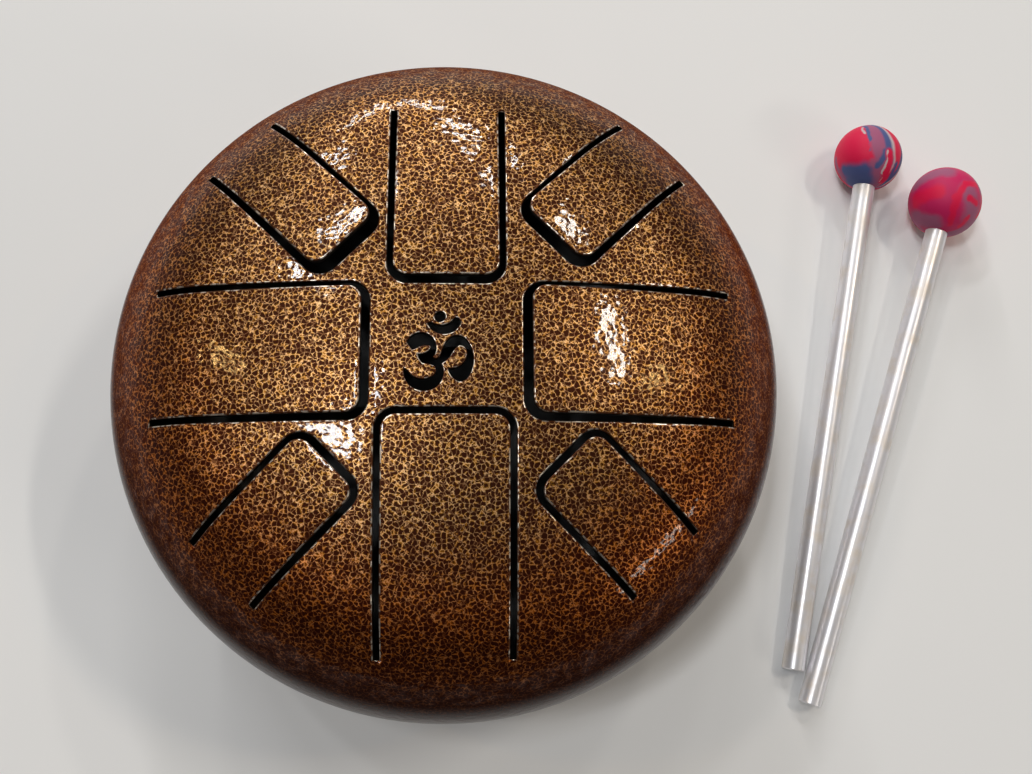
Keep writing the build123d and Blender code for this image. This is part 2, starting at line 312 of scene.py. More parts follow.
class PaintLook(bpy.types.PropertyGroup):
    """Colours and scale of the copper vein paint."""

    vein: FloatVectorProperty(
        name="Vein", description="Gold of the veins", default=(0.72, 0.44, 0.205), subtype="COLOR"
    )
    dull_vein: FloatVectorProperty(
        name="Dull vein", description="Tan of the duller veins", default=(0.20, 0.100, 0.042), subtype="COLOR"
    )
    gold: FloatVectorProperty(
        name="Gold", description="Gold smears beside the veins", default=(0.38, 0.165, 0.020), subtype="COLOR"
    )
    halo: FloatVectorProperty(
        name="Halo", description="Brown beside the veins", default=(0.10, 0.034, 0.013), subtype="COLOR"
    )
    cell: FloatVectorProperty(
        name="Cell", description="Dark of the cells", default=(0.036, 0.010, 0.0045), subtype="COLOR"
    )
    gloss: FloatProperty(
        name="Gloss", description="Weight of the clear coat on the face",
        default=0.3, min=0.0, max=1.0, subtype="FACTOR"
    )
    side_gloss: FloatProperty(
        name="Side gloss", description="Weight of the clear coat on the rim, side and base",
        default=0.6, min=0.0, max=1.0, subtype="FACTOR"
    )
    # Painted reflection: how much of the veins the rim's red-brown covers
    rim_cover: FloatProperty(
        name="Rim cover", description="Share of the veins that the rim's tone covers",
        default=0.68, min=0.0, max=1.0, subtype="FACTOR"
    )
    # Painted shade: the share of the colour left at the rim, where it is darkest at the player's side
    painted_shade_tone: FloatProperty(
        name="Thin tone", description="Share of the paint's tone left on the rim at the player's side",
        default=0.22, min=0.0, max=1.0, subtype="FACTOR"
    )
    # Painted reflection of red surroundings, away from the middle
    red_reflection_tint: FloatVectorProperty(
        name="Outer tint", description="Reddening away from the middle",
        default=(1.08, 0.64, 0.40), subtype="COLOR"
    )
    # Painted reflection of red surroundings, towards the rim
    rim: FloatVectorProperty(
        name="Rim", description="Red-brown towards the rim", default=(0.11, 0.018, 0.005), subtype="COLOR"
    )
    edge: FloatVectorProperty(
        name="Edge", description="Bright flake on the cut edges", default=(0.85, 0.76, 0.64), subtype="COLOR"
    )
    cell_size: FloatProperty(
        name="Cell size", description="Mean width of a cell", default=0.00098, unit="LENGTH"
    )
    peel_size: FloatProperty(
        name="Peel size", description="Width of a wave of the orange peel", default=0.0015, unit="LENGTH"
    )
    peel_height: FloatProperty(
        name="Peel height", description="Depth of the orange peel", default=0.000042, unit="LENGTH"
    )


class MalletLook(bpy.types.PropertyGroup):
    """Colours of the mallets."""

    crimson: FloatVectorProperty(
        name="Crimson", description="Red of the marbled heads", default=(0.72, 0.004, 0.062), subtype="COLOR"
    )
    slate: FloatVectorProperty(
        name="Slate", description="Blue of the marbled heads", default=(0.075, 0.100, 0.26), subtype="COLOR"
    )
    mauve: FloatVectorProperty(
        name="Mauve", description="Mixed tone of the heads", default=(0.36, 0.095, 0.19), subtype="COLOR"
    )
    rose: FloatVectorProperty(
        name="Rose", description="Pinker red of the heads", default=(0.56, 0.012, 0.105), subtype="COLOR"
    )
    streak: FloatVectorProperty(
        name="Streak", description="Thin pale streaks", default=(0.58, 0.48, 0.50), subtype="COLOR"
    )
    facing: FloatVectorProperty(
        name="Facing", description="Side of the heads that the strokes are on",
        default=(-0.34, -0.33, 0.88), subtype="DIRECTION"
    )
    rod: FloatVectorProperty(
        name="Rod", description="Bright metal of the rods", default=(0.86, 0.85, 0.88), subtype="COLOR"
    )
    rod_smear: FloatVectorProperty(
        name="Rod smear", description="Duller smears on the rods", default=(0.80, 0.74, 0.68), subtype="COLOR"
    )


class FittingLook(bpy.types.PropertyGroup):
    """Colours of the inside, the feet and their fixings, each with its paler clouds."""

    inside: FloatVectorProperty(
        name="Inside", description="Black of the inside", default=(0.004, 0.0035, 0.003), subtype="COLOR"
    )
    inside_cloud: FloatVectorProperty(
        name="Inside cloud", description="Paler black inside", default=(0.010, 0.008, 0.007), subtype="COLOR"
    )
    rubber: FloatVectorProperty(
        name="Rubber", description="Black of the feet", default=(0.014, 0.014, 0.014), subtype="COLOR"
    )
    rubber_cloud: FloatVectorProperty(
        name="Rubber cloud", description="Paler black of the feet",
        default=(0.030, 0.029, 0.028), subtype="COLOR"
    )
    zinc: FloatVectorProperty(
        name="Zinc", description="Grey of the plating", default=(0.50, 0.50, 0.48), subtype="COLOR"
    )
    zinc_cloud: FloatVectorProperty(
        name="Zinc cloud", description="Paler grey of the plating",
        default=(0.70, 0.69, 0.66), subtype="COLOR"
    )


class StageLook(bpy.types.PropertyGroup):
    """Floor, light and camera."""

    floor: FloatVectorProperty(
        name="Floor", description="Pale floor", default=(0.85, 0.85, 0.845), subtype="COLOR"
    )
    # Painted shadow: the floor's colour under the drum
    painted_shadow_under_drum: FloatVectorProperty(
        name="Under drum", description="Floor hidden by the drum", default=(0.03, 0.03, 0.03), subtype="COLOR"
    )
    floor_radius: FloatProperty(
        name="Floor radius", description="Size of the floor", default=4.0, unit="LENGTH"
    )
    lamp_distance: FloatProperty(
        name="Lamp distance", description="Lamps to the drum", default=2.0, unit="LENGTH"
    )
    horizon: FloatVectorProperty(
        name="Horizon", description="Surroundings at floor level", default=(0.30, 0.30, 0.30), subtype="COLOR"
    )
    zenith: FloatVectorProperty(
        name="Zenith", description="Surroundings overhead", default=(0.07, 0.07, 0.07), subtype="COLOR"
    )
    player_side: FloatVectorProperty(
        name="Player's side", description="Surroundings in front", default=(0.03, 0.03, 0.03), subtype="COLOR"
    )
    lens: FloatProperty(
        name="Lens", description="Focal length in millimetres", default=38.04, subtype="UNSIGNED"
    )
    camera_place: FloatVectorProperty(
        name="Camera place",
        description="Where the camera stands",
        default=(0.004376, -0.050633, 0.280892),
        subtype="TRANSLATION",
    )
    camera_turn: FloatVectorProperty(
        name="Camera turn",
        description="Tilt from straight down, swing and roll of the camera",
        default=(0.2009, -0.0441, 0.0022),
        subtype="EULER",
    )


class TongueDrumSettings(bpy.types.PropertyGroup):
    """All settings of the drum."""

    shape: PointerProperty(type=DrumShape)
    paint: PointerProperty(type=PaintLook)
    mallets: PointerProperty(type=MalletLook)
    fittings: PointerProperty(type=FittingLook)
    stage: PointerProperty(type=StageLook)


# Shader nodes

SOCKETS = {
    "base_color": "Base Color",
    "metallic": "Metallic",
    "roughness": "Roughness",
    "specular": "Specular IOR Level",
    "coat": "Coat Weight",
    "coat_roughness": "Coat Roughness",
}


class Graph:
    """Nodes of a material or of the surroundings, with short ways to add and join them."""

    def __init__(self, owner):
        owner.use_nodes = True
        self.nodes = owner.node_tree.nodes
        self.links = owner.node_tree.links

    def feed(self, socket, value):
        """Links a socket to another, or sets its value."""
        if isinstance(value, bpy.types.NodeSocket):
            self.links.new(value, socket)
        else:
            socket.default_value = value

    def math(self, operation, a, b=0.0):
        """Result of an operation on one or two numbers."""
        node = self.nodes.new("ShaderNodeMath")
        node.operation = operation
        self.feed(node.inputs[0], a)
        self.feed(node.inputs[1], b)
        return node.outputs[0]

    def vector(self, operation, a, b=(0, 0, 0)):
        """Result of an operation on one or two vectors."""
        node = self.nodes.new("ShaderNodeVectorMath")
        node.operation = operation
        self.feed(node.inputs[0], a)
        self.feed(node.inputs[1], b)
        return node.outputs["Value" if operation in ("LENGTH", "DOT_PRODUCT") else "Vector"]

    def split(self, place):
        """Coordinates of a place, by the names of the axes."""
        node = self.nodes.new("ShaderNodeSeparateXYZ")
        self.feed(node.inputs[0], place)
        return node.outputs

    def ramp(self, value, low=0.0, high=1.0, at_low=0.0, at_high=1.0):
        """Smooth step of a value from low to high."""
        node = self.nodes.new("ShaderNodeMapRange")
        node.interpolation_type = "SMOOTHSTEP"
        for socket, given in zip(node.inputs, (value, low, high, at_low, at_high)):
            self.feed(socket, given)
        return node.outputs[0]

    def mix(self, share, a, b):
        """Colour a where share is 0 and b where it is 1."""
        node = self.nodes.new("ShaderNodeMix")
        node.data_type = "RGBA"
        self.feed(node.inputs["Factor"], share)
        for socket, given in ((node.inputs[6], a), (node.inputs[7], b)):
            self.feed(socket, given if isinstance(given, bpy.types.NodeSocket) else (*given, 1.0))
        return node.outputs[2]


class Finish(Graph):
    """One material, with the textures and surface that the finishes share."""

    def __init__(self, name):
        self.material = bpy.data.materials.new(name)
        super().__init__(self.material)
        self.surface = self.nodes["Principled BSDF"]
        self.place = self.nodes.new("ShaderNodeTexCoord").outputs["Object"]

    def set(self, **values):
        """Sets or links inputs of the surface, by their names in SOCKETS."""
        for name, value in values.items():
            self.feed(self.surface.inputs[SOCKETS[name]], value)

    def noise(self, size, detail=2.0, place=None, output="Fac"):
        """Noise whose features are about the given size."""
        node = self.nodes.new("ShaderNodeTexNoise")
        self.feed(node.inputs["Vector"], place or self.place)
        node.inputs["Scale"].default_value = 1 / size
        node.inputs["Detail"].default_value = detail
        return node.outputs[output]

    def clouds(self, size, detail=2.0, at_low=0.0, at_high=1.0):
        """Noise spread between two values."""
        return self.ramp(self.noise(size, detail), *NOISE_RANGE, at_low, at_high)

    def pushed(self, place, size, amount, detail):
        """Coordinates pushed about by noise."""
        push = self.vector("SUBTRACT", self.noise(size, detail, place, "Color"), (0.5, 0.5, 0.5))
        return self.vector("ADD", place, self.vector("MULTIPLY", push, (amount, amount, amount)))

    def mapping(self, place, centre=(0, 0, 0), turn=(0, 0, 0), size=(1, 1, 1)):
        """Coordinates about a centre, turned, in units of a size along each axis."""
        node = self.nodes.new("ShaderNodeMapping")
        node.vector_type = "TEXTURE"
        self.feed(node.inputs["Vector"], place)
        node.inputs["Location"].default_value = centre
        node.inputs["Rotation"].default_value = turn
        node.inputs["Scale"].default_value = size
        return node.outputs["Vector"]

    def stroke(self, place, start, end, width):
        """1 on a stroke between two places on the unit ball, fading to 0 round it."""
        along = end - start
        from_start = self.vector("SUBTRACT", place, start)
        share = self.vector("DOT_PRODUCT", from_start, along / along.length_squared)
        share = self.math("MINIMUM", self.math("MAXIMUM", share, 0.0), 1.0)
        beside = self.vector("ADD", self.vector("MULTIPLY", share, along), start)
        nearest = self.vector("NORMALIZE", beside)
        aside = self.vector("LENGTH", self.vector("SUBTRACT", place, nearest))
        return self.ramp(aside, width * STROKE_CORE, width * STROKE_EDGE, 1.0, 0.0)

    def bands(self, value, starts, soft=0.014):
        """Soft-edged bands of colour, each from its start to the next one's."""
        node = self.nodes.new("ShaderNodeValToRGB")
        self.feed(node.inputs[0], value)
        stops = node.color_ramp.elements
        stops.remove(stops[1])
        ends = [start for start, colour in starts[1:]] + [1.0 + soft]
        for (start, colour), end in zip(starts, ends):
            for stop in (start + soft / 2, end - soft / 2):
                stops.new(min(stop, 1.0)).color = (*colour, 1.0)
        stops.remove(stops[0])
        return node.outputs["Color"]

    def cells(self, size, place):
        """Distance from the edges of scattered cells, in cell sizes."""
        node = self.nodes.new("ShaderNodeTexVoronoi")
        node.feature = "DISTANCE_TO_EDGE"
        node.inputs["Scale"].default_value = 1 / size
        self.feed(node.inputs["Vector"], place)
        return node.outputs["Distance"]

    def clear_from_behind(self):
        """Lets the back of the surface be looked through."""
        either = self.nodes.new("ShaderNodeMixShader")
        self.feed(either.inputs[0], self.nodes.new("ShaderNodeNewGeometry").outputs["Backfacing"])
        self.feed(either.inputs[1], self.surface.outputs["BSDF"])
        self.feed(either.inputs[2], self.nodes.new("ShaderNodeBsdfTransparent").outputs["BSDF"])
        self.feed(self.nodes["Material Output"].inputs["Surface"], either.outputs["Shader"])

    def bump(self, height, distance, *others):
        """Bumps of a height on the surface's normal, and on other normals that are named."""
        node = self.nodes.new("ShaderNodeBump")
        node.inputs["Distance"].default_value = distance
        self.feed(node.inputs["Height"], height)
        for name in ("Normal", *others):
            self.feed(self.surface.inputs[name], node.outputs["Normal"])


def vein_pattern(paint, look):
    """Where the veins are, and the colours of veins, of the smears beside them and of the cells."""
    size = look.cell_size
    ragged_place = paint.pushed(paint.place, size * RAGGED_WAVE, size * RAGGED_PUSH, detail=2.0)
    from_edge = paint.cells(size, ragged_place)
    width = paint.clouds(size * WIDTH_WAVE, 2.0, *VEIN_WIDTHS)
    vein = paint.ramp(paint.math("DIVIDE", from_edge, width), *VEIN_EDGE, 1.0, 0.0)
    patchy = paint.noise(size * PATCH_WAVE, detail=1.0)
    gold = paint.ramp(patchy, *GOLD_PATCHES)
    smear_end = paint.ramp(gold, 0.0, 1.0, *SMEAR_ENDS)
    smear = paint.ramp(from_edge, SMEAR_START, smear_end, 1.0, 0.0)
    cell = paint.mix(smear, look.cell, paint.mix(gold, look.halo, look.gold))
    flake = paint.mix(paint.ramp(patchy, *BRIGHT_PATCHES), look.dull_vein, look.vein)
    return vein, paint.mix(vein, cell, flake)


def vein_paint(look):
    """Gold flake veins round near-black cells under a clear coat with orange peel. The colour turns redder
    towards the rim, a painted reflection of red surroundings, and darker towards the rim, a painted shade
    that is strongest at the player's side, with a dull shoulder and a glossy side."""
    paint = Finish("vein_paint")
    vein, colour = vein_pattern(paint, look)
    level = paint.vector("MULTIPLY", paint.place, (1, 1, 0))
    from_axis = paint.vector("LENGTH", level)
    from_centre = paint.vector("LENGTH", paint.vector("SUBTRACT", level, ZONE_CENTRE))
    uneven = paint.math("SUBTRACT", paint.noise(WANDER_WAVE, detail=3.0), 0.5)
    wander = paint.math("MULTIPLY", uneven, WANDER)
    outward = paint.math("ADD", from_axis, wander)
    forward = paint.math("ADD", from_centre, wander)
    # Painted reflection of red surroundings: redder away from the middle, and dark red-brown over the rim
    redder = paint.vector("MULTIPLY", colour, look.red_reflection_tint)
    colour = paint.mix(paint.ramp(forward, *RED_REFLECTION_ZONE), colour, redder)
    colour = paint.mix(paint.ramp(outward, *RIM_ZONE, 0.0, look.rim_cover), colour, look.rim)
    # Painted shade: the colour is darkened towards the rim, most at the player's side
    painted_shade = paint.ramp(forward, *PAINTED_SHADE_ZONE, 1.0, look.painted_shade_tone)
    paint.set(base_color=paint.vector("MULTIPLY", colour, painted_shade))
    metal = paint.ramp(vein, at_low=0.6, at_high=0.9)
    metal_left = paint.ramp(outward, *RIM_ZONE, at_low=1.0, at_high=0.1)
    paint.set(metallic=paint.math("MULTIPLY", metal, metal_left))
    shoulder = paint.ramp(outward, *DULL_ZONE, look.gloss, look.gloss * 0.1)
    side = paint.ramp(paint.split(paint.place)["Z"], *SIDE_ZONE, look.side_gloss, 0.0)
    paint.set(coat=paint.math("MAXIMUM", shoulder, side))
    paint.set(roughness=0.4, specular=0.0, coat_roughness=0.04)
    deeper = paint.ramp(from_axis, *PEEL_ZONE, at_low=1.0, at_high=2.4)
    peel = paint.math("MULTIPLY", paint.noise(look.peel_size, detail=0.5), deeper)
    paint.bump(peel, look.peel_height, "Coat Normal")
    return paint.material


def worn_edge(look):
    """Thin paint over the cut edges, rubbed through to bright flake in places."""
    edge = Finish("thin_edge_paint")
    rubbed = edge.ramp(edge.noise(size=0.0012, detail=3.0), low=0.47, high=0.60)
    edge.set(base_color=edge.mix(rubbed, look.halo, look.edge))
    edge.set(metallic=edge.ramp(rubbed, at_low=0.6, at_high=0.95))
    edge.set(roughness=0.3, specular=0.0, coat=0.3, coat_roughness=0.04)
    return edge.material


def black_inside(look):
    """Thin black paint on the cut walls and inside the shells."""
    black = Finish("black_inside")
    cloud = black.clouds(size=0.003, detail=3.0)
    black.set(base_color=black.mix(cloud, look.inside, look.inside_cloud), roughness=0.35)
    black.bump(black.noise(size=0.0012), distance=0.00002)
    return black.material


def foot_rubber(look):
    """Matt black moulded rubber with a fine grain."""
    rubber = Finish("foot_rubber_grain")
    cloud = rubber.clouds(size=0.0016, detail=4.0)
    rubber.set(base_color=rubber.mix(cloud, look.rubber, look.rubber_cloud))
    rubber.set(roughness=rubber.ramp(cloud, at_low=0.62, at_high=0.8))
    rubber.bump(rubber.noise(size=0.0005, detail=3.0), distance=0.00004)
    return rubber.material


def zinc_plate(look):
    """Zinc plating with its cloudy grain."""
    zinc = Finish("zinc_plate")
    cloud = zinc.clouds(size=0.002, detail=4.0)
    zinc.set(base_color=zinc.mix(cloud, look.zinc, look.zinc_cloud), metallic=1.0)
    zinc.set(roughness=zinc.ramp(cloud, at_low=0.25, at_high=0.42))
    zinc.bump(zinc.noise(size=0.0004), distance=0.000006)
    return zinc.material


def drawn_rod(look, along):
    """Bright rod with fine lines drawn along it and a few duller smears."""
    rod = Finish("drawn_rod")
    turn = along.to_track_quat("X", "Z").to_euler()
    lengthwise = rod.mapping(rod.place, turn=turn, size=(LINE_STRETCH, 1.0, 1.0))
    line = rod.noise(size=0.0005, detail=3.0, place=lengthwise)
    smear = rod.ramp(rod.noise(size=0.006, detail=3.0), low=0.40, high=0.75)
    rod.set(base_color=rod.mix(smear, look.rod, look.rod_smear), metallic=0.55)
    line_roughness = rod.ramp(line, *NOISE_RANGE, at_low=0.30, at_high=0.42)
    rod.set(roughness=rod.math("ADD", line_roughness, rod.math("MULTIPLY", smear, 0.08)))
    rod.bump(line, distance=0.000003)
    return rod.material


def marbled_rubber(name, look, centre, radius, marbling):
    """Rubber folded in bands from pole to pole of a ball, with strokes over them, all swirled about."""
    marble = Finish(name)
    ball = marble.mapping(marble.place, centre=centre, size=(radius, radius, radius))
    turned = marble.mapping(ball, turn=marbling.turn)
    swirled = marble.split(marble.pushed(turned, size=1.0, amount=marbling.swirl, detail=1.5))
    around = marble.math("ARCTAN2", swirled["X"], swirled["Z"])
    share = marble.math("ADD", marble.math("DIVIDE", around, 2 * pi), 0.5)
    colour = marble.bands(share, [(start, getattr(look, tone)) for start, tone in marbling.bands])
    facing = Vector(look.facing).normalized()
    right = STROKES_UP.cross(facing).normalized()
    above = facing.cross(right)
    wavy = marble.pushed(ball, size=0.45, amount=0.30, detail=3.0)
    for stroke in marbling.strokes:
        ends = [
            right * x + above * y + facing * sqrt(max(1 - x**2 - y**2, 0.0))
            for x, y in (stroke.start, stroke.end)
        ]
        covered = marble.stroke(wavy, *ends, stroke.width)
        colour = marble.mix(covered, colour, getattr(look, stroke.tone))
    marble.set(base_color=colour, roughness=0.55, specular=0.3)
    marble.bump(marble.noise(size=0.0006, detail=3.0), distance=0.00002)
    return marble.material


def pale_floor(look):
    """Pale floor, faintly clouded, with a painted shadow under the drum, and clear from below."""
    pale = Finish("pale_floor")
    cloud = pale.clouds(size=0.08, detail=3.0)
    cloudy = pale.mix(cloud, look.floor, [shade * FLOOR_CLOUD for shade in look.floor])
    # Painted shadow: the floor darkens under the drum
    beyond = pale.ramp(pale.vector("LENGTH", pale.place), *SHADOW_PATCH_ZONE)
    pale.set(base_color=pale.mix(beyond, look.painted_shadow_under_drum, cloudy), roughness=0.8, specular=0.2)
    pale.clear_from_behind()
    return pale.material


# Shapes


def crown_angle(shape):
    """Angle from the axis at which the crown's arc runs into the knuckle's."""
    inset = RIM_RADIUS - shape.crown_knuckle
    return asin(inset / (shape.crown_radius - shape.crown_knuckle))


def dome_height(shape, radius, inward=0.0):
    """Height of the upper shell's skin at a radius, for a skin that lies inward of the outer face."""
    crown = shape.crown_radius - inward
    if radius < crown * sin(crown_angle(shape)):
        return CROWN_Z - shape.crown_radius + sqrt(crown**2 - radius**2)
    knuckle = shape.crown_knuckle - inward
    across = radius - RIM_RADIUS + shape.crown_knuckle
    return SEAM_Z + shape.skirt + sqrt(max(knuckle**2 - across**2, 0.0))


def arc(centre, radius, start, end, steps):
    """Points on an arc, ends included, with angles in radians."""
    angles = [start + (end - start) * step / steps for step in range(steps + 1)]
    return [Vector((centre[0] + radius * cos(a), centre[1] + radius * sin(a))) for a in angles]


def tongue_frame(name):
    """Root point and outward and leftward directions of a tongue, in plan, from its joint."""
    joint = joints[f"tongue_{name}_flex"]
    left = Vector(joint["axis"][:2])
    outward = Vector((left.y, -left.x))
    return Vector(joint["pos_m"]), outward, left


def tongue_loop(shape, name, around):
    """Plan outline of a tongue grown by a margin round its free edges, anticlockwise from the root."""
    size = TONGUES[name]
    root_point, outward, left = tongue_frame(name)
    root = root_point.xy.dot(outward)
    middle = root_point.xy.dot(left)
    half = size.width / 2 + around
    corner = shape.tip_corner + around
    near = size.tip - around + corner
    along_root = [-half, half]
    if around:
        along_root = [-half, -size.width / 2, size.width / 2, half]
    local = [Vector((root, aside)) for aside in along_root]
    local += arc((near, half - corner), corner, pi / 2, pi, CORNER_STEPS)
    local += arc((near, corner - half), corner, pi, 1.5 * pi, CORNER_STEPS)
    return [outward * point.x + left * (point.y + middle) for point in local]


def edge_loops(edges):
    """Vertices along edges that join, once round for each loop."""
    joined = {}
    for edge in edges:
        for vert in edge.verts:
            joined.setdefault(vert, []).append(edge.other_vert(vert))
    loops = []
    while joined:
        loop = [next(iter(joined))]
        while loop[-1] in joined:
            onward = [vert for vert in joined.pop(loop[-1]) if vert in joined]
            loop += onward[:1]
        loops.append(loop)
    return loops


def sign_loops(kerf):
    """Plan outlines of the pierced sign, from the edges where the crown meets the sign's walls."""
    bm = bmesh.new()
    bm.from_mesh(frame["nodes"]["upper_shell"].data)
    bmesh.ops.remove_doubles(bm, verts=bm.verts, dist=MERGE)
    reach = min(size.tip for size in TONGUES.values()) - SIGN_CLEAR * kerf
    outline = []
    for edge in bm.edges:
        if max(vert.co.xy.length for vert in edge.verts) > reach or len(edge.link_faces) != 2:
            continue
        rises = sorted(face.normal.z for face in edge.link_faces)
        if rises[1] > FACE_RISE and abs(rises[0]) < WALL_RISE:
            outline.append(edge)
    loops = [[vert.co.xy.copy() for vert in loop] for loop in edge_loops(outline)]
    bm.free()
    return loops


def signed_area(loop):
    """Area inside a plan loop, positive when it runs anticlockwise."""
    return sum(a.cross(b) for a, b in zip(loop, loop[1:] + loop[:1])) / 2


def loop_offsets(loop):
    """For each point of a loop, the mitred direction to the left of the way that the loop runs."""
    offsets = []
    for index, point in enumerate(loop):
        before = (point - loop[index - 1]).normalized()
        after = (loop[(index + 1) % len(loop)] - point).normalized()
        normal = Vector((-before.y - after.y, before.x + after.x)).normalized()
        sharpness = max(normal.dot(Vector((-after.y, after.x))), MITRE_LEAST)
        offsets.append(normal / sharpness)
    return offsets


def new_ring(bm, points, z):
    """Closed ring of edges through plan points."""
    ring = [bm.verts.new((point.x, point.y, z)) for point in points]
    for a, b in zip(ring, ring[1:] + ring[:1]):
        bm.edges.new((a, b))
    return ring


def ring_edges(bm, ring):
    """Edges of a closed ring of vertices, in order."""
    return [bm.edges.get((a, b)) for a, b in zip(ring, ring[1:] + ring[:1])]


def extrude_ring(bm, ring, places):
    """Extrudes a closed ring of vertices and moves each copy to its place."""
    made = bmesh.ops.extrude_edge_only(bm, edges=ring_edges(bm, ring))["geom"]
    index = {vert: number for number, vert in enumerate(ring)}
    copies = [None] * len(ring)
    for vert in (item for item in made if isinstance(item, bmesh.types.BMVert)):
        source = next(edge.other_vert(vert) for edge in vert.link_edges if edge.other_vert(vert) in index)
        copies[index[source]] = vert
    for vert, place in zip(copies, places):
        vert.co = place
    return copies


def add_cut(shape, bm, loop, shares):
    """Painted round and wall along a cut, as the edges at its top and those at its bottom."""
    directions = loop_offsets(loop)
    rounds = [direction * share * shape.edge_round for direction, share in zip(directions, shares)]
    ring = new_ring(bm, [point + push for point, push in zip(loop, rounds)], 0.0)
    top_edges = ring_edges(bm, ring)
    for step in range(1, ROUND_STEPS + 1):
        turn = step / ROUND_STEPS * pi / 2
        across, down = 1 - sin(turn), 1 - cos(turn)
        places = [
            (point + push * across).to_3d() - Vector((0, 0, shape.edge_round * share * down))
            for point, push, share in zip(loop, rounds, shares)
        ]
        ring = extrude_ring(bm, ring, places)
    ring = extrude_ring(bm, ring, [Vector((point.x, point.y, -shape.sheet)) for point in loop])
    return top_edges, ring_edges(bm, ring)


def cut_into_grid(bm, step):
    """Cuts a flat sheet along the lines of a square grid, so that it can be pressed."""
    for axis, normal in enumerate((Vector((1, 0, 0)), Vector((0, 1, 0)))):
        places = [vert.co[axis] for vert in bm.verts]
        first = int(min(places) / step) - 1
        last = int(max(places) / step) + 1
        for number in range(first, last + 1):
            bmesh.ops.bisect_plane(
                bm,
                geom=bm.verts[:] + bm.edges[:] + bm.faces[:],
                dist=MERGE,
                plane_co=normal * (number * step),
                plane_no=normal,
            )


def flat_sheet(shape, cut_loops, whole_loop=None):
    """Flat sheet with its top at zero: cut loops get a painted round and a wall, with the sheet on
    their left, and a whole loop bounds it without a wall. Each cut point has a share of the round."""
    bm = bmesh.new()
    top_edges, bottom_edges = [], []
    for loop, shares in cut_loops:
        top, bottom = add_cut(shape, bm, loop, shares)
        top_edges += top
        bottom_edges += bottom
    if whole_loop:
        top_edges += ring_edges(bm, new_ring(bm, whole_loop, 0.0))
        bottom_edges += ring_edges(bm, new_ring(bm, whole_loop, -shape.sheet))
    bmesh.ops.triangle_fill(bm, use_beauty=True, edges=top_edges, normal=(0, 0, 1))
    bmesh.ops.triangle_fill(bm, use_beauty=True, edges=bottom_edges, normal=(0, 0, -1))
    bmesh.ops.remove_doubles(bm, verts=bm.verts, dist=MERGE)
    bmesh.ops.dissolve_degenerate(bm, dist=MERGE, edges=bm.edges)
    cut_into_grid(bm, shape.mesh_step)
    for face in bm.faces:
        lowest = min(vert.co.z for vert in face.verts)
        if lowest > -MERGE:
            face.material_index = PAINT
        elif lowest > -shape.edge_round - MERGE:
            face.material_index = EDGE
        else:
            face.material_index = INSIDE
    return bm


def press(shape, bm):
    """Presses a flat sheet into the dome, its cut walls kept upright."""
    for vert in bm.verts:
        radius = vert.co.xy.length
        outer = dome_height(shape, radius)
        inner = dome_height(shape, radius, shape.sheet)
        vert.co.z = outer + vert.co.z / shape.sheet * (outer - inner)


def drop_folds(bm):
    """Deletes faces that lie back to back on the same corners, and corners left between two edges."""
    same_corners = {}
    for face in bm.faces:
        same_corners.setdefault(frozenset(face.verts), []).append(face)
    folded = [face for faces in same_corners.values() if len(faces) > 1 for face in faces]
    bmesh.ops.delete(bm, geom=folded, context="FACES")
    bmesh.ops.dissolve_verts(bm, verts=[vert for vert in bm.verts if len(vert.link_edges) == 2])


def finished_piece(name, bm, materials, body=None):
    """Makes an object of a closed mesh, with its faces outward and its hard edges kept sharp."""
    bmesh.ops.remove_doubles(bm, verts=bm.verts, dist=MERGE)
    drop_folds(bm)
    bmesh.ops.recalc_face_normals(bm, faces=bm.faces)
    mesh = bpy.data.meshes.new(name)
    bm.to_mesh(mesh)
    bm.free()
    mesh.shade_smooth()
    mesh.set_sharp_from_angle(angle=SHARP_ANGLE)
    for material in materials:
        mesh.materials.append(material)
    piece = bpy.data.objects.new(name, mesh)
    bpy.context.scene.collection.objects.link(piece)
    if body:
        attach(piece, body)
    return piece


def spun_piece(name, profile, materials, steps):
    """Closed piece of the drum made by spinning a closed profile of radius and height round its axis."""
    bm = bmesh.new()
    ring = [bm.verts.new((point.x, 0, point.y)) for point in profile]
    edges = [bm.edges.new(pair) for pair in zip(ring, ring[1:] + ring[:1])]
    bmesh.ops.spin(
        bm,
        geom=ring + edges,
        cent=(0, 0, 0),
        axis=(0, 0, 1),
        angle=2 * pi,
        steps=steps,
        use_merge=True,
    )
    return finished_piece(name, bm, materials, "drum")


def dress(nodes, material):
    """Gives CAD nodes a finish."""
    for name in nodes:
        for slot in frame["nodes"][name].material_slots:
            slot.material = material


def shell_materials(settings):
    """The paint, the black inside and the cut edges, each made once."""
    made = bpy.data.materials
    return [
        made.get("vein_paint") or vein_paint(settings.paint),
        made.get("black_inside") or black_inside(settings.fittings),
        made.get("thin_edge_paint") or worn_edge(settings.paint),
    ]


# Steps of the build


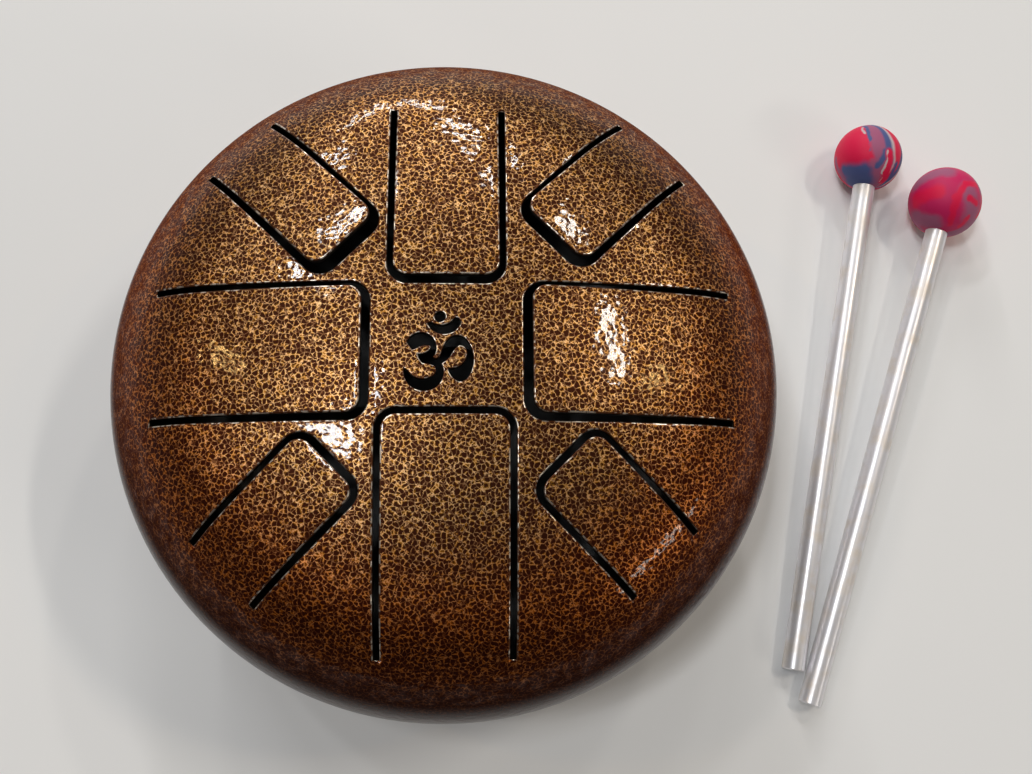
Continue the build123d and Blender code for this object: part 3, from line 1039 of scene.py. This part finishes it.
class UpperShell(bpy.types.Operator):
    """Press the upper shell, with its tongue windows and pierced sign."""

    bl_idname = "tongue_drum.upper_shell"
    bl_label = "Upper shell"

    def execute(self, context):
        settings = context.scene.tongue_drum
        shape = settings.shape
        cut_loops = []
        for name in TONGUES:
            loop = tongue_loop(shape, name, shape.kerf)
            # The sheet is whole along the root, so there is no round at the root's two corners
            shares = [1.0, 0.0, 0.0] + [1.0] * (len(loop) - 3)
            cut_loops.append((list(reversed(loop)), list(reversed(shares))))
        signs = sign_loops(shape.kerf)
        if len(signs) != SIGN_OUTLINES:
            raise RuntimeError(f"the sign has {len(signs)} outlines, and it should have {SIGN_OUTLINES}")
        for loop in signs:
            if signed_area(loop) > 0:
                loop.reverse()
            cut_loops.append((loop, [SIGN_ROUND] * len(loop)))
        edge_radius = RIM_RADIUS - shape.rim_band
        circle = arc((0, 0), edge_radius, 0, 2 * pi, shape.segments)[:-1]
        bm = flat_sheet(shape, cut_loops, circle)
        rim = [edge for edge in bm.edges if edge.is_boundary and edge.verts[0].co.z > -MERGE]
        press(shape, bm)
        self.add_rim(shape, bm, rim, edge_radius)
        piece = finished_piece("painted_upper_shell", bm, shell_materials(settings), "drum")
        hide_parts("upper_shell")
        return {"FINISHED"}

    def add_rim(self, shape, bm, rim, edge_radius):
        """Carries the sheet's edge down the shoulder to the seam and back up inside."""
        ring = edge_loops(rim)[0]
        flat = [vert.co.xy.copy() for vert in ring]
        centre = (RIM_RADIUS - shape.crown_knuckle, SEAM_Z + shape.skirt)
        start = asin((dome_height(shape, edge_radius) - centre[1]) / shape.crown_knuckle)
        outside = arc(centre, shape.crown_knuckle, start, 0, SHOULDER_STEPS)[1:]
        outside.append(Vector((RIM_RADIUS, SEAM_Z)))
        inner = shape.crown_knuckle - shape.sheet
        inner_start = asin((dome_height(shape, edge_radius, shape.sheet) - centre[1]) / inner)
        inside = [Vector((RIM_RADIUS - shape.sheet, SEAM_Z))]
        inside += arc(centre, inner, 0, inner_start, INNER_SHOULDER_STEPS)
        for number, point in enumerate(outside + inside):
            height = Vector((0, 0, point.y))
            places = [(direction.normalized() * point.x).to_3d() + height for direction in flat]
            before = set(bm.faces)
            ring = extrude_ring(bm, ring, places)
            for face in set(bm.faces) - before:
                face.material_index = PAINT if number < len(outside) else INSIDE
        for vert, place in zip(ring, flat):
            vert.co.xy = place
            vert.co.z = dome_height(shape, place.length, shape.sheet)


class Tongues(bpy.types.Operator):
    """Cut the eight tongues and bend them up from their roots."""

    bl_idname = "tongue_drum.tongues"
    bl_label = "Tongues"

    def execute(self, context):
        settings = context.scene.tongue_drum
        shape = settings.shape
        for name, size in TONGUES.items():
            loop = tongue_loop(shape, name, 0.0)
            loop = self.with_root_corners(shape, loop)
            shares = [0.0, 0.0, *[1.0] * (len(loop) - 2)]
            bm = flat_sheet(shape, [(loop, shares)])
            press(shape, bm)
            start, end = self.bend(shape, bm, name, size)
            piece = finished_piece(f"bent_tongue_{name}", bm, shell_materials(settings))
            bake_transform(piece)
            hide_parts(f"tongue_{name}")
        return {"FINISHED"}

    def with_root_corners(self, shape, loop):
        """Adds a point on each side a little way from the root, where the painted round begins."""
        inward = (loop[2] - loop[1]).normalized() * shape.edge_round * ROUND_START
        return [loop[0], loop[1], loop[1] + inward, *loop[2:], loop[0] + inward]

    def bend(self, shape, bm, name, size):
        """Bends a tongue evenly near its root so that its tip stands where the solid's does."""
        root_point, outward, left = tongue_frame(name)
        root = root_point.xy.dot(outward)
        length = root - size.tip
        bent = length * shape.bend_share
        angle = size.bend * length / (length - bent / 2)
        axis = left.to_3d()
        for vert in bm.verts:
            along = min(max(root - vert.co.xy.dot(outward), 0.0), bent)
            foot = root_point.xy - outward * (along / 2)
            pivot = foot.to_3d()
            pivot.z = dome_height(shape, foot.length) - shape.sheet / 2
            turn = Matrix.Rotation(angle * along / bent, 3, axis)
            vert.co = pivot + turn @ (vert.co - pivot)
        end = root_point - outward.to_3d() * bent
        return root_point, end


class LowerShell(bpy.types.Operator):
    """Spin the lower shell with its sound hole, and the weld bead round the seam."""

    bl_idname = "tongue_drum.lower_shell"
    bl_label = "Lower shell"

    def execute(self, context):
        settings = context.scene.tongue_drum
        shape = settings.shape
        materials = shell_materials(settings)
        sheet, knuckle = shape.sheet, shape.base_knuckle
        lip = shape.edge_round
        centre = (RIM_RADIUS - knuckle, knuckle)
        outside = arc((shape.sound_hole + lip, lip), lip, pi, 1.5 * pi, ROUND_STEPS)
        outside += arc(centre, knuckle, -pi / 2, 0, KNUCKLE_STEPS)
        outside += [Vector((RIM_RADIUS, SEAM_Z))]
        inside = [Vector((RIM_RADIUS - sheet, SEAM_Z))]
        inside += arc(centre, knuckle - sheet, 0, -pi / 2, KNUCKLE_STEPS)
        inside += [Vector((shape.sound_hole, sheet))]
        piece = spun_piece("painted_lower_shell", outside + inside, materials, shape.segments)
        middle = Vector((0, 0, SEAM_Z))
        for face in piece.data.polygons:
            face.material_index = PAINT if face.normal.dot(face.center - middle) > 0 else INSIDE
        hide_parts("lower_shell")
        self.add_weld(shape, materials[PAINT])
        return {"FINISHED"}

    def add_weld(self, shape, paint):
        """Weld bead with the faint ripple of its passes."""
        low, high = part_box("seam_weld")
        half = (high.z - low.z) / 2
        proud = high.x - RIM_RADIUS
        bead = []
        for step in range(BEAD_STEPS + 1):
            turn = radians(90 - 180 * step / BEAD_STEPS)
            bead.append(Vector((RIM_RADIUS + proud * cos(turn), SEAM_Z + half * sin(turn))))
        bead.append(Vector((RIM_RADIUS - shape.sheet / 2, SEAM_Z)))
        piece = spun_piece("ripple_seam_weld", bead, [paint], RIPPLES * RIPPLE_STEPS)
        for vert in piece.data.vertices:
            out = vert.co.xy.length - RIM_RADIUS
            if out > 0:
                wave = (1 + cos(RIPPLES * atan2(vert.co.y, vert.co.x))) / 2
                vert.co.xy *= (RIM_RADIUS + out * (1 - RIPPLE_DEPTH * wave)) / vert.co.xy.length
        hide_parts("seam_weld")


class Feet(bpy.types.Operator):
    """Finish the rubber feet, washers and inserts, and make the cross-head screws."""

    bl_idname = "tongue_drum.feet"
    bl_label = "Feet"

    def execute(self, context):
        settings = context.scene.tongue_drum
        zinc = zinc_plate(settings.fittings)
        dress(FEET, foot_rubber(settings.fittings))
        dress(("foot_washers", "foot_inserts"), zinc)
        piece = self.add_screws(settings.shape, zinc)
        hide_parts("foot_screws")
        return {"FINISHED"}

    def add_screws(self, shape, zinc):
        """A rounded screw with a cross recess in the middle of each foot, driven from below."""
        low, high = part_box("foot_screws")
        under_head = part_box("foot_washers")[0].z
        height = under_head - low.z
        centres = [(sum(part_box(foot), Vector()) / 2).xy for foot in FEET]
        head = high.x - max(centre.x for centre in centres)
        shank, chamfer = shape.screw_shank, shape.edge_round
        outline = [(head * share, low.z + height * rise) for share, rise in HEAD_PROFILE]
        outline += [(head, under_head), (shank, under_head)]
        outline += [(shank, high.z - chamfer), (shank - chamfer, high.z)]
        spokes = arc((0, 0), 1.0, 0, 2 * pi, SCREW_STEPS)[:-1]
        bm = bmesh.new()
        for number, centre in enumerate(centres):
            turn = Matrix.Rotation(SCREW_TURN * number, 2)
            cross = [centre + turn @ Vector(point) * head for point in CROSS]
            ring = new_ring(bm, [centre + spoke * outline[0][0] for spoke in spokes], low.z)
            recess = new_ring(bm, cross, low.z)
            around = ring_edges(bm, ring) + ring_edges(bm, recess)
            bmesh.ops.triangle_fill(bm, use_beauty=True, edges=around, normal=(0, 0, -1))
            bottom = Vector((0, 0, low.z + height * CROSS_DEPTH))
            narrowed = [centre.lerp(point, CROSS_TAPER).to_3d() + bottom for point in cross]
            recess = extrude_ring(bm, recess, narrowed)
            for radius, z in outline[1:]:
                up = Vector((0, 0, z))
                ring = extrude_ring(bm, ring, [(centre + spoke * radius).to_3d() + up for spoke in spokes])
            for end in (recess, ring):
                bmesh.ops.triangle_fill(bm, use_beauty=True, edges=ring_edges(bm, end), normal=(0, 0, 1))
        return finished_piece("cross_head_screws", bm, [zinc], "drum")


class Mallets(bpy.types.Operator):
    """Finish the rods and the marbled heads of the mallets."""

    bl_idname = "tongue_drum.mallets"
    bl_label = "Mallets"

    def execute(self, context):
        look = context.scene.tongue_drum.mallets
        for name, marbling in MARBLING.items():
            low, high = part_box(f"{name}_head")
            rod_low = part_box(f"{name}_rod")[0]
            centre = (low + high) / 2
            radius = (high.x - low.x) / 2
            dress((f"{name}_rod",), drawn_rod(look, (centre - rod_low).normalized()))
            rubber = marbled_rubber(f"marbled_rubber_{name}", look, centre, radius, marbling)
            dress((f"{name}_head",), rubber)
        return {"FINISHED"}


class Stage(bpy.types.Operator):
    """Lay the pale floor and set up the lamps, surroundings and camera."""

    bl_idname = "tongue_drum.stage"
    bl_label = "Stage"

    def execute(self, context):
        scene = context.scene
        look = scene.tongue_drum.stage
        scene.view_settings.view_transform = "Standard"
        self.add_floor(scene, look)
        for name, lamp in LAMPS.items():
            self.add_lamp(scene, name, lamp, look.lamp_distance)
        self.add_surroundings(scene, look)
        self.add_camera(scene, look)
        return {"FINISHED"}

    def add_floor(self, scene, look):
        """Round floor under the feet, facing up."""
        bm = bmesh.new()
        bmesh.ops.create_circle(bm, cap_ends=True, segments=FLOOR_STEPS, radius=look.floor_radius)
        bmesh.ops.translate(bm, verts=bm.verts, vec=(0, 0, FLOOR_Z))
        bm.normal_update()
        bmesh.ops.reverse_faces(bm, faces=[face for face in bm.faces if face.normal.z < 0])
        mesh = bpy.data.meshes.new("floor")
        bm.to_mesh(mesh)
        bm.free()
        mesh.materials.append(pale_floor(look))
        floor = bpy.data.objects.new("floor", mesh)
        scene.collection.objects.link(floor)

    def add_lamp(self, scene, name, lamp, distance):
        """Area lamp between two directions, facing the drum."""
        ends = []
        for azimuth, height in (lamp.start, lamp.end):
            turn, rise = radians(azimuth), radians(height)
            ends.append(Vector((sin(turn) * cos(rise), cos(turn) * cos(rise), sin(rise))) * distance)
        data = bpy.data.lights.new(name, "AREA")
        data.shape = "RECTANGLE"
        data.size = (ends[1] - ends[0]).length
        data.size_y = distance * radians(lamp.width)
        data.energy = lamp.glow * pi * data.size * data.size_y
        data.color = lamp.colour
        across = (ends[1] - ends[0]).normalized()
        middle = (ends[0] + ends[1]) / 2
        back = (middle - across * middle.dot(across)).normalized()
        turn = Matrix((across, back.cross(across), back)).transposed().to_4x4()
        lamp_object = bpy.data.objects.new(name, data)
        lamp_object.matrix_world = Matrix.Translation(middle + Vector((0, 0, CROWN_Z))) @ turn
        scene.collection.objects.link(lamp_object)

    def add_surroundings(self, scene, look):
        """Soft surroundings, pale at floor level, darker overhead and at the player's side."""
        world = bpy.data.worlds.new("studio")
        sky = Graph(world)
        way = sky.split(sky.nodes.new("ShaderNodeTexCoord").outputs["Generated"])
        colour = sky.mix(sky.ramp(way["Z"], *ZENITH_ZONE), look.horizon, look.zenith)
        colour = sky.mix(sky.ramp(way["Y"], *PLAYER_ZONE), colour, look.player_side)
        sky.feed(sky.nodes["Background"].inputs["Color"], colour)
        scene.world = world

    def add_camera(self, scene, look):
        """Camera above the player's side, looking almost straight down."""
        tilt, swing, roll = look.camera_turn
        right = Vector((1, 0, 0))
        up = Vector((0, cos(tilt), sin(tilt)))
        back = Vector((0, -sin(tilt), cos(tilt)))
        right, back = right * cos(swing) - back * sin(swing), right * sin(swing) + back * cos(swing)
        right, up = right * cos(roll) + up * sin(roll), up * cos(roll) - right * sin(roll)
        data = bpy.data.cameras.new("camera")
        data.lens = look.lens
        data.sensor_width = SENSOR_WIDTH
        data.clip_start = NEAR_CLIP
        camera = bpy.data.objects.new("camera", data)
        turn = Matrix((right, up, back)).transposed().to_4x4()
        camera.matrix_world = Matrix.Translation(look.camera_place) @ turn
        scene.collection.objects.link(camera)
        scene.camera = camera


class TongueDrumPanel(bpy.types.Panel):
    """Settings and steps of the drum."""

    bl_idname = "VIEW3D_PT_tongue_drum"
    bl_label = "Tongue drum"
    bl_space_type = "VIEW_3D"
    bl_region_type = "UI"
    bl_category = "Tongue drum"

    def draw(self, context):
        settings = context.scene.tongue_drum
        looks = (settings.paint, settings.mallets, settings.fittings, settings.stage)
        for group in (settings.shape, *looks):
            box = self.layout.box()
            for name in group.__annotations__:
                box.prop(group, name)
        for operator in OPERATORS:
            self.layout.operator(operator.bl_idname)


OPERATORS = (UpperShell, Tongues, LowerShell, Feet, Mallets, Stage)
LOOKS = (PaintLook, MalletLook, FittingLook, StageLook)
CLASSES = (DrumShape, *LOOKS, TongueDrumSettings, *OPERATORS, TongueDrumPanel)


def register():
    for cls in CLASSES:
        bpy.utils.register_class(cls)
    bpy.types.Scene.tongue_drum = PointerProperty(type=TongueDrumSettings)


def unregister():
    del bpy.types.Scene.tongue_drum
    for cls in reversed(CLASSES):
        bpy.utils.unregister_class(cls)


def main():
    register()
    bpy.ops.tongue_drum.upper_shell()
    bpy.ops.tongue_drum.tongues()
    bpy.ops.tongue_drum.lower_shell()
    bpy.ops.tongue_drum.feet()
    bpy.ops.tongue_drum.mallets()
    bpy.ops.tongue_drum.stage()


if __name__ == "__main__":
    main()
